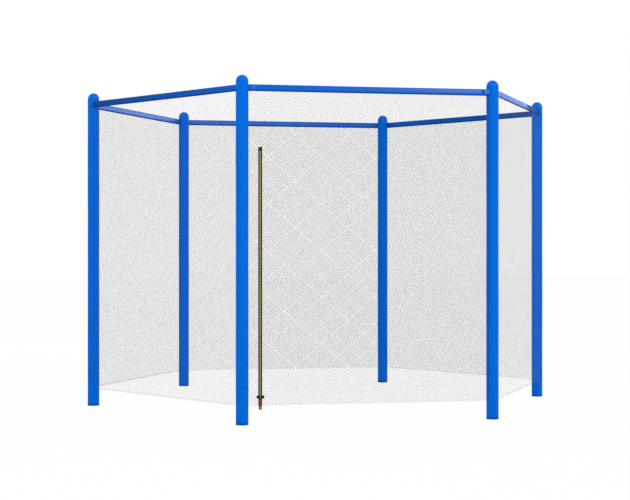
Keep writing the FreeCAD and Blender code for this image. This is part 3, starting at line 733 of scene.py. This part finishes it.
def net_lattice(shape, net, lift=0.0):
    """Both sets of yarns of a panel, and the knots where they cross."""
    reach = (net.high - net.low) / net.slope
    count = ceil((2 * NET_HALF + reach) / net.step_x) + 2
    for way, origin in ((1, net.start_x - reach), (-1, net.start_x)):
        first = floor((origin - net.start_x) / (2 * net.step_x)) - 1
        for index in range(first, first + count // 2 + 3):
            line = net.start_x + 2 * index * net.step_x
            inside = [net.level(way, line, x) for x in (-NET_HALF, NET_HALF)]
            if max(inside) > net.low and min(inside) < net.high:
                net_yarn(shape, net, way, line, lift)
    rows = int((net.high - net.low) / net.step_z)
    columns = int(2 * NET_HALF / net.step_x) + 1
    for row in range(1, rows + 1):
        for column in range(row % 2, columns, 2):
            x, z = net.start_x + column * net.step_x, net.low + row * net.step_z
            if abs(x) < NET_HALF - KNOT[0] and z < net.high - KNOT[2] and not net.in_slit(x, z):
                shape.bead(net.point(x, z, lift), ALONG, OUTWARD, UPWARD, KNOT)


def make_net(place, angle, phase):
    """Net panel of thin dark yarn, with knitted strips inside the band and a yarn down each side."""
    shape = Shape()
    net_lattice(shape, Net(place, phase, NET_LOW, NET_HIGH))
    border_z = (BAND_LOW + BORDER_INSET + NET_HIGH) / 2
    border_half = (NET_HIGH - BAND_LOW - BORDER_INSET) / 2
    for depth in BORDER_DEPTHS:
        path = [Vector((x, depth, border_z)) for x in (-NET_HALF, NET_HALF)]
        shape.yarn(path, UPWARD * border_half, OUTWARD * YARN_DEPTH)
    for x in (SIDE_YARN_HALF - NET_HALF, NET_HALF - SIDE_YARN_HALF):
        path = [Vector((x, 0, NET_LOW)), Vector((x, 0, NET_HIGH))]
        shape.yarn(path, ALONG * SIDE_YARN_HALF, OUTWARD * (SIDE_YARN_HALF / 2))
    return make_piece(f"net_{place}", shape, panel_matrix(angle), YARN,
                      stands_for=[f"net_panel_{place}"], sharp=80)


def between(shape, start, end):
    """The faces of a shape that lie between two places along it, with the points that they use."""
    faces = [face for face in shape.faces if all(start <= shape.points[corner].x <= end for corner in face)]
    used = sorted({corner for face in faces for corner in face})
    places = {corner: index for index, corner in enumerate(used)}
    kept = Shape()
    kept.add([shape.points[corner] for corner in used],
             [tuple(places[corner] for corner in face) for face in faces])
    return kept


def make_hem(name, place, angle, start, end):
    """The net's lower edge, folded up once outside over the net's own yarns, and sewn over an edge yarn."""
    full = Shape()
    net_lattice(full, Net(place, 0.0, NET_LOW, HEM_HIGH), HEM_LIFT)
    shape = between(full, start, end)
    fold = [Vector((x, -FOLD_OUT, HEM_LOW + FOLD_UP)) for x in (start, end)]
    shape.yarn(fold, UPWARD * FOLD_YARN_HALF, OUTWARD * FOLD_YARN_DEPTH)
    for step in range(int((end - start) / NET_STITCH_PITCH)):
        x = start + (step + 0.5) * NET_STITCH_PITCH
        point = Vector((x, -NET_STITCH_OUT, HEM_HIGH - NET_STITCH_DOWN))
        shape.bead(point, UPWARD, OUTWARD, ALONG, NET_STITCH)
    return make_piece(name, shape, panel_matrix(angle), YARN, stands_for=[f"bottom_{name}"], sharp=80)


# Bands. Their sections are (up, out) pairs: the outer face, and the channel that holds the net.


BAND_SIDE = [(0.0, 0.0010), (0.0005, 0.0018), (0.0030, 0.0021), (0.0040, 0.0019), (0.0050, 0.00225),
             (0.0090, 0.0024), (0.0140, 0.0025), (0.0190, 0.0025), (0.0240, 0.0024), (0.0290, 0.00215),
             (0.0310, 0.0019), (0.0320, 0.0020), (0.0345, 0.0016), (0.0356, 0.0010), (0.0360, 0.0)]
BAND_CHANNEL = [(0.0335, 0.0), (0.0325, 0.0007), (0.0, 0.0008)]
BAND_FACE = 0.0025
BAND_STEPS = 60
BAND_SAG = 0.0006
PATCH_LENGTH = 0.041
PATCH_RISE = 0.0008
PATCH_LOW, PATCH_HIGH = 0.0004, 0.035
PATCH_EDGE = 0.0006
ZIGZAG_STEP = 0.0016
ZIGZAG_LEVELS = (0.0058, 0.0016)
ZIGZAG_HALF, ZIGZAG_DEPTH = 0.00042, 0.0003
BAND_STITCH, BAND_STITCH_PITCH = (0.00055, 0.0004, 0.0016), 0.0042
BAND_STITCH_DOWN, BAND_STITCH_OUT = 0.0055, 0.0023
PATCH_STITCH, PATCH_STITCH_PITCH = (0.00045, 0.0004, 0.0016), 0.0038


def end_at(out):
    """How far along a panel a webbing's end reaches, where it stands that far outward of the net."""
    return HALF_CHORD - sqrt(SLEEVE_REACH ** 2 - (NET_OFFSET + out) ** 2)


def band_section(patched):
    """The band's closed section as (outward, up) pairs, outside first."""
    rise = PATCH_RISE if patched else 0
    outside = [(out + (rise if PATCH_LOW < up < PATCH_HIGH else 0), up) for up, out in BAND_SIDE]
    inside = [(-out, up) for up, out in reversed(BAND_SIDE[:-1])]
    channel = [(-out, up) for up, out in reversed(BAND_CHANNEL)]
    channel += [(out, up) for up, out in BAND_CHANNEL[1:]]
    stretch = (BAND_HIGH - BAND_LOW) / BAND_SIDE[-1][0]
    return [(out, up * stretch) for out, up in outside + inside + channel]


def band_sag(share):
    """How far a band hangs below its ends."""
    return BAND_SAG * cos(pi * share / 2)


def make_band(place, angle):
    """Blue webbing folded over the net's top edge, doubled at both ends."""
    patch = 1 - PATCH_LENGTH / end_at(0)
    shares = [-1 + 2 * step / BAND_STEPS for step in range(BAND_STEPS + 1)]
    shares += [side * (patch + beside) for side in (-1, 1) for beside in (-PATCH_EDGE, PATCH_EDGE)]
    rings = []
    for share in sorted(set(shares)):
        rings.append([Vector((share * end_at(out), -out, BAND_LOW + up - band_sag(share)))
                      for out, up in band_section(abs(share) > patch)])
    return make_piece(f"band_{place}", Shape(rings), panel_matrix(angle), BANDS[place],
                      stands_for=[f"top_band_{place}"], sharp=50)


def make_band_stitches(place, angle):
    """Zigzag stitches on the band's lower edge, straight ones under its fold, and two rows on each patch."""
    shape = Shape()
    reach = end_at(BAND_FACE) - 0.002
    patch = end_at(0) - PATCH_LENGTH

    def on_band(side, x, depth, z):
        """A point on one face of the band, over its patch where it has one."""
        rise = PATCH_RISE if side > 0 and abs(x) > patch else 0
        return Vector((x, -side * (depth + rise), z - band_sag(x / reach)))

    for side in (1, -1):
        path = []
        for step in range(int(2 * reach / ZIGZAG_STEP)):
            z = BAND_LOW + ZIGZAG_LEVELS[step % 2]
            path.append(on_band(side, -reach + step * ZIGZAG_STEP, BAND_FACE, z))
        shape.yarn(path, ALONG * ZIGZAG_HALF, OUTWARD * ZIGZAG_DEPTH)
        for step in range(int(2 * reach / BAND_STITCH_PITCH)):
            x = -reach + (step + 0.5) * BAND_STITCH_PITCH
            point = on_band(side, x, BAND_STITCH_OUT, BAND_HIGH - BAND_STITCH_DOWN)
            shape.bead(point, UPWARD, OUTWARD, ALONG, BAND_STITCH)
    for side in (-1, 1):
        for row in (0.003, 0.006):
            for step in range(6):
                z = BAND_LOW + 0.0085 + PATCH_STITCH_PITCH * step
                point = Vector((side * (patch + row), -BAND_FACE - PATCH_RISE, z))
                shape.bead(point, ALONG, OUTWARD, UPWARD, PATCH_STITCH)
    return make_piece(f"band_stitches_{place}", shape, panel_matrix(angle), NAVY_THREAD,
                      sharp=80)


# Zip. Side -1 is its left half, and 1 its right.


TAPE_BACK, TAPE_FRONT = depth_of(TAPE_BOX[1].y), depth_of(TAPE_BOX[0].y)
TEETH_BACK, TEETH_FRONT = depth_of(TEETH_BOX[1].y), depth_of(TEETH_BOX[0].y)
TAPE_LOW = TAPE_BOX[0].z - TAIL_BELOW
TAPE_INNER = 0.0033
TAPE_REACH = {-1: ZIP_HALF, 1: ZIP_HALF + 0.0008}
TAPE_ROWS = 120
TAPE_CORD, CORD_WIDTH, CORD_SLOPE = 0.0006, 0.0011, 0.0018
TAPE_EDGE, TAPE_BEVEL = 0.0005, 0.0002
TAPE_STITCH, TAPE_STITCH_PITCH = (0.0003, 0.0003, 0.0013), 0.0036
TAIL_REACH = {-1: 0.0072, 1: 0.0088}
TAIL_LEAN = {-1: 0.6, 1: 1}
TAIL_GAP = 0.0001
LIP_INNER, LIP_HALF = 0.0003, 0.00015
LIP_TOP = TAB_BOX[0].z - 0.008
TOOTH_PITCH = 0.0026
TEETH_ROOT = {-1: 0.0022, 1: 0.0028}
TAB_RIGHT, TAB_UP = 0.0005, 0.001
TAB_STITCH, TAB_STITCH_PITCH, TAB_STITCH_INSET = (0.0003, 0.0003, 0.0012), 0.0034, 0.0028
GRIP_X = ZIP_X + 0.0012
GRIP_WIDER, GRIP_DOWN, GRIP_TALLER, GRIP_OUT = 0.0013, 0.0006, 0.0010, 0.0002
GRIP_LOBE, GRIP_NECK, GRIP_CORE = 0.31, 0.5, 0.17
PULL_FLAT = 1.6
PULL_BENDS = {True: 0.0004, False: 0.0028}


def tape_section(side, z):
    """A tape's closed section at a level, as (outward of the zip, depth) pairs, and how far it leans out."""
    tail = smoothly((HEM_LOW - z) / 0.004)
    below = smoothly((STOP_BOX[1].z - 0.002 - z) / 0.003)
    end = max(0, (HEM_LOW - z) / (HEM_LOW - TAPE_LOW))
    outer = TAPE_REACH[side] + (TAIL_REACH[side] - TAPE_REACH[side]) * tail
    inner = TAPE_INNER + (TAIL_GAP - TAPE_INNER) * below
    lip = inner + (LIP_INNER - inner) * (1 - below) * (z < LIP_TOP)
    lean = 0.0030 * end ** 3 * TAIL_LEAN[side] + 0.0005 * end * sin(7 * end + side)
    cord = TAPE_CORD * (1 - below)
    depth = (TAPE_BACK + TAPE_FRONT) / 2
    section = [(inner, TAPE_BACK + cord), (inner, depth + LIP_HALF), (lip, depth + LIP_HALF),
               (lip, depth - LIP_HALF), (inner, depth - LIP_HALF), (inner, TAPE_FRONT - cord),
               (inner + CORD_WIDTH, TAPE_FRONT - cord), (inner + CORD_SLOPE, TAPE_FRONT),
               (outer - TAPE_EDGE, TAPE_FRONT), (outer, TAPE_FRONT + TAPE_BEVEL),
               (outer, TAPE_BACK - TAPE_BEVEL), (outer - TAPE_EDGE, TAPE_BACK),
               (inner + CORD_SLOPE, TAPE_BACK), (inner + CORD_WIDTH, TAPE_BACK + cord)]
    return section, lean


def make_tape(side_name, side):
    """One half of the woven tape, sewn to the net, with its loose end below."""
    rings = []
    for row in range(TAPE_ROWS + 1):
        z = TAPE_LOW + (ZIP_TOP - 0.0003 - TAPE_LOW) * row / TAPE_ROWS
        section, lean = tape_section(side, z)
        rings.append([Vector((ZIP_X + side * (x + lean * 0.2), y - lean, z)) for x, y in section])
    shape = Shape(rings)
    seam_x = ZIP_X + side * (TAPE_REACH[side] - 0.002)
    for step in range(int((ZIP_TOP - HEM_LOW - 0.03) / TAPE_STITCH_PITCH)):
        point = Vector((seam_x, TAPE_FRONT - 0.0001, HEM_LOW + 0.006 + step * TAPE_STITCH_PITCH))
        shape.bead(point, ALONG, OUTWARD, UPWARD, TAPE_STITCH)
    return make_piece(f"tape_{side_name}", shape, FRONT, TAPES[side_name],
                      stands_for=[f"zip_tape_{side_name}"])


def make_teeth(side_name, side):
    """One row of moulded teeth, meshed with the other row, its roots in the tape's colour."""
    shape = Shape()
    low = TEETH_BOX[0].z + (TOOTH_PITCH / 2 if side > 0 else 0)
    depth = (TEETH_BACK - TEETH_FRONT) / 2
    centre = (TEETH_BACK + TEETH_FRONT) / 2
    # Rows of place across, half height and share of the depth, from the tape to the tooth's head
    sections = ((TAPE_INNER + 0.0012, 0.0007, 0.8), (TEETH_ROOT[side], 0.0010, 1), (0.0011, 0.0008, 0.9),
                (0.0002, 0.0009, 0.9), (-0.0005, 0.0006, 0.6))
    for step in range(int((TEETH_BOX[1].z - low) / TOOTH_PITCH)):
        z = low + (step + 0.5) * TOOTH_PITCH
        rings = []
        for x, half_z, share in sections:
            half_y = share * depth
            corners = ((-half_y, -half_z), (half_y, -half_z), (half_y, half_z), (-half_y, half_z))
            rings.append([Vector((ZIP_X + side * x, centre + y, z + up)) for y, up in corners])
        shape.sweep(rings)
    teeth = make_piece(f"teeth_{side_name}", shape, FRONT, CHAIN,
                       stands_for=[f"zip_teeth_{side_name}"])
    teeth.data.materials.append(CHAIN_ROOTS[side_name])
    for face in teeth.data.polygons:
        face.material_index = int(side * (face.center.x - ZIP_X) > TEETH_ROOT[side])


def make_tab():
    """Black webbing tab over the zip's top, sewn down round its edge and crosswise."""
    left, right = TAB_BOX[0].x, TAB_BOX[1].x + TAB_RIGHT
    low, high = TAB_BOX[0].z, TAB_BOX[1].z + TAB_UP
    back, front = depth_of(TAB_BOX[1].y), depth_of(TAB_BOX[0].y)

    def corners(inset):
        """The tab's four corners as (x, z) pairs, moved in from its edge."""
        x0, x1, z0, z1 = left + inset, right - inset, low + inset, high - inset
        return [(x0, z0), (x1, z0), (x1, z1), (x0, z1)]

    edge, soft = 0.0007, 0.0004
    rings = [[Vector((x, y, z)) for x, z in corners(inset)]
             for y, inset in ((back, edge), (back - soft, 0), (front + soft, 0), (front, edge))]
    tab = make_piece("tab", Shape(rings), FRONT, TAB, stands_for=["zip_top_tab"])
    seam = Shape()
    ends = [Vector((x, front, z)) for x, z in corners(TAB_STITCH_INSET)]
    lines = list(zip(ends, ends[1:] + ends[:1])) + [(ends[0], ends[2]), (ends[1], ends[3])]
    for first, last in lines:
        along = (last - first).normalized()
        side = along.cross(Vector((0, 1, 0)))
        for step in range(int((last - first).length / TAB_STITCH_PITCH)):
            point = first + along * (step + 0.5) * TAB_STITCH_PITCH
            seam.bead(point, side, OUTWARD, along, TAB_STITCH)
    make_piece("tab_stitches", seam, FRONT, BLACK_THREAD, sharp=80)
    return tab


def grip_stations():
    """Places along the grip as (share of its half width, share of its half height), left wing first."""
    wing = []
    for step in range(13):
        turn = pi * step / 12
        size = max(sin(turn) ** 0.5, GRIP_NECK if step > 6 else 0)
        wing.append((1 - GRIP_LOBE + GRIP_LOBE * cos(turn), size))
    wing += [(0.25, 0.45), (GRIP_CORE + 0.01, 0.5), (GRIP_CORE, 0.66), (0.08, 0.7)]
    return [(-share, size) for share, size in wing] + [(share, size) for share, size in reversed(wing)]


def make_grip():
    """Winged grip: a bar across the slider with a round lobe at each end and metal at its middle."""
    back, front = depth_of(GRIP_BOX[1].y), depth_of(GRIP_BOX[0].y)
    half = (GRIP_BOX[1].x - GRIP_BOX[0].x) / 2 + GRIP_WIDER
    level, knob = middle(GRIP_BOX, Z) - GRIP_DOWN, (GRIP_BOX[1].z - GRIP_BOX[0].z) / 2 + GRIP_TALLER
    centre = (back + front) / 2 - GRIP_OUT
    rings = []
    for share, size in grip_stations():
        size = max(size, 0.02)
        depth = (front - back) / 2 * (0.7 + 0.3 * size) * min(1, size * 2.2)
        rings.append([Vector((GRIP_X + share * half, centre + depth * cos(turn),
                              level + knob * size * sin(turn))) for turn in turns(16)])
    grip = make_piece("grip", Shape(rings), FRONT, BLACK_PLASTIC, "zip_slider",
                      ["slider_grip"])
    grip.data.materials.append(CORE)
    for face in grip.data.polygons:
        face.material_index = int(abs(face.center.x - GRIP_X) < (GRIP_CORE + 0.005) * half)


def make_pull(name, body):
    """A wire loop that hangs from the slider, its legs pressed flat."""
    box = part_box(body)
    half, wire = (box[1].x - box[0].x) / 2, (box[1].y - box[0].y) / 2
    flat = PULL_FLAT * wire
    depth = depth_of(middle(box, Y))
    top, foot = box[1].z - wire, box[0].z + wire
    bend_steps = 5
    path = []
    for right, upper, first in ((1, False, -90), (1, True, 0), (-1, True, 90), (-1, False, 180)):
        bend = PULL_BENDS[upper]
        centre_x = right * (half - flat - bend)
        centre_z = top - bend if upper else foot + bend
        for step in range(bend_steps + 1):
            turn = radians(first + 90 * step / bend_steps)
            path.append((centre_x + bend * cos(turn), centre_z + bend * sin(turn)))
    rings = []
    for index, (x, z) in enumerate(path):
        before, after = path[index - 1], path[(index + 1) % len(path)]
        along = Vector((after[0] - before[0], 0, after[1] - before[1])).normalized()
        side = Vector((along.z, 0, -along.x))
        width = wire + (flat - wire) * abs(along.z)
        rings.append([Vector((ZIP_X + x, depth, z)) + (side * cos(turn) * width
                                                       + Vector((0, sin(turn) * wire, 0)))
                      for turn in turns(8)])
    make_piece(name, Shape(rings, joined=True), FRONT, LACQUER, body, [body])


def dress_node(name, material, bevel=0.0):
    """Gives a solid that stays its finish, and rounds its edges a little."""
    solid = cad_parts[name]
    solid.data.materials.clear()
    solid.data.materials.append(material)
    if bevel:
        rounding = solid.modifiers.new("edges", "BEVEL")
        rounding.width = bevel
        rounding.segments = 2
        rounding.limit_method = "ANGLE"
        rounding.angle_limit = radians(35)


# Object


for index, (place, angle) in enumerate(POLES.items()):
    phase = 1.7 * index
    make_sleeve(place, angle, phase)
    make_sleeve_stitches(place, angle, phase)
    make_cap(place, angle)
    make_foam(place, angle, phase)
    dress_node(f"lower_tube_{place}", STEEL)
    dress_node(f"upper_tube_{place}", STEEL)
dress_node("pole_joint_screws", STEEL)

front_trim = []
for side_name, side in (("left", -1), ("right", 1)):
    front_trim.append(make_tape(side_name, side))
    make_teeth(side_name, side)
front_trim.append(make_tab())

for index, (place, angle) in enumerate(PANELS.items()):
    net = make_net(place, angle, 0.9 + 1.3 * index)
    band = make_band(place, angle)
    trim = [band, make_band_stitches(place, angle)]
    end = end_at(0)
    if place == "front":
        after, before = ZIP_X + TAPE_REACH[1] + SOFT_GAP, ZIP_X - TAPE_REACH[-1] - SOFT_GAP
        trim.append(make_hem("hem_front", place, angle, after, end))
        trim.append(make_hem("hem_beside_zip", place, angle, -end, before))
        trim += front_trim
    else:
        trim.append(make_hem(f"hem_{place}", place, angle, -end, end))

dress_node("zip_bottom_stop", STOP_PLASTIC, bevel=0.0004)
dress_node("zip_slider", LACQUER, bevel=0.0003)
make_grip()
make_pull("outer_loop", "outer_pull")
make_pull("inner_loop", "inner_pull")


# Floor, light and camera


WHITE = (1, 1, 1, 1)
WORLD_LIGHT = 0.66
FLOOR_HALF, FLOOR_GLOW = 40, 0.97
# Name, azimuth and elevation in degrees, distance, size, power, and whether it only shows in gloss
LAMPS = (("key", 254, 25, 7, 2.5, 85, False),
         ("fill", 330, 20, 9, 3, 190, False),
         ("side", 202, 20, 6, 1.5, 26, False),
         ("back", 110, 25, 9, 3, 150, False),
         ("softbox", 290, 15, 9, 0.7, 375, True),
         ("side_softbox", 47.8, 14.3, 6, 1, 32, True))
LAMP_AIM = (0, 0, 1)
PHOTO_WIDTH = 630


def white_to_camera(tree):
    """1 for the rays that show the background, else 0."""
    rays = node(tree, "LightPath").outputs
    seen = maths(tree, "MAXIMUM", rays["Is Camera Ray"], rays["Is Glossy Ray"])
    return maths(tree, "MAXIMUM", seen, rays["Is Transmission Ray"])


def make_world():
    """White where it is seen, plain soft light elsewhere."""
    world = bpy.data.worlds.new("studio")
    world.use_nodes = True
    tree = world.node_tree
    light = node(tree, "Background", Color=WHITE, Strength=WORLD_LIGHT)
    seen = node(tree, "Background", Color=WHITE, Strength=1.0)
    mix = node(tree, "MixShader", i0=white_to_camera(tree), i1=light.outputs[0], i2=seen.outputs[0])
    tree.links.new(mix.outputs[0], tree.nodes["World Output"].inputs["Surface"])
    bpy.context.scene.world = world


def make_floor():
    """Pale floor: white to the camera apart from a faint shadow."""
    size = FLOOR_HALF
    mesh = bpy.data.meshes.new("floor")
    mesh.from_pydata([(-size, -size, 0), (size, -size, 0), (size, size, 0), (-size, size, 0)], [],
                     [(0, 1, 2, 3)])
    material, tree, shader = new_material("floor", (0.8, 0.8, 0.8), roughness=0.9, specular=0.0)
    glow = node(tree, "Emission", Color=WHITE, Strength=1.0)
    share = maths(tree, "MULTIPLY", white_to_camera(tree), FLOOR_GLOW)
    mix = node(tree, "MixShader", i0=share, i1=shader.outputs[0], i2=glow.outputs[0])
    tree.links.new(mix.outputs[0], tree.nodes["Material Output"].inputs["Surface"])
    mesh.materials.append(material)
    new_object("floor", mesh)


def make_light(name, azimuth, elevation, distance, size, power, gloss_only):
    """A soft square lamp that faces the middle of the enclosure."""
    lamp = bpy.data.lights.new(name, "AREA")
    lamp.size = size
    lamp.energy = power
    light = new_object(name, lamp)
    turn, rise = radians(azimuth), radians(elevation)
    toward = Vector((cos(turn) * cos(rise), sin(turn) * cos(rise), sin(rise)))
    light.location = Vector(LAMP_AIM) + toward * distance
    light.rotation_mode = "QUATERNION"
    light.rotation_quaternion = toward.to_track_quat("Z", "Y")
    light.visible_diffuse = not gloss_only
    light.visible_camera = False


def make_camera():
    """The photograph's view: level, a little left of the front."""
    data = bpy.data.cameras.new("camera")
    data.lens = 91.01
    data.sensor_width = 36
    data.shift_y = -4.13 / PHOTO_WIDTH
    data.clip_end = 200
    camera = new_object("camera", data)
    camera.location = (-2.2815, -10.4675, 1.0414)
    camera.rotation_euler = (radians(90), 0, radians(-12.05))
    bpy.context.scene.camera = camera


make_world()
make_floor()
for lamp in LAMPS:
    make_light(*lamp)
make_camera()
bpy.context.scene.view_settings.view_transform = "Standard"
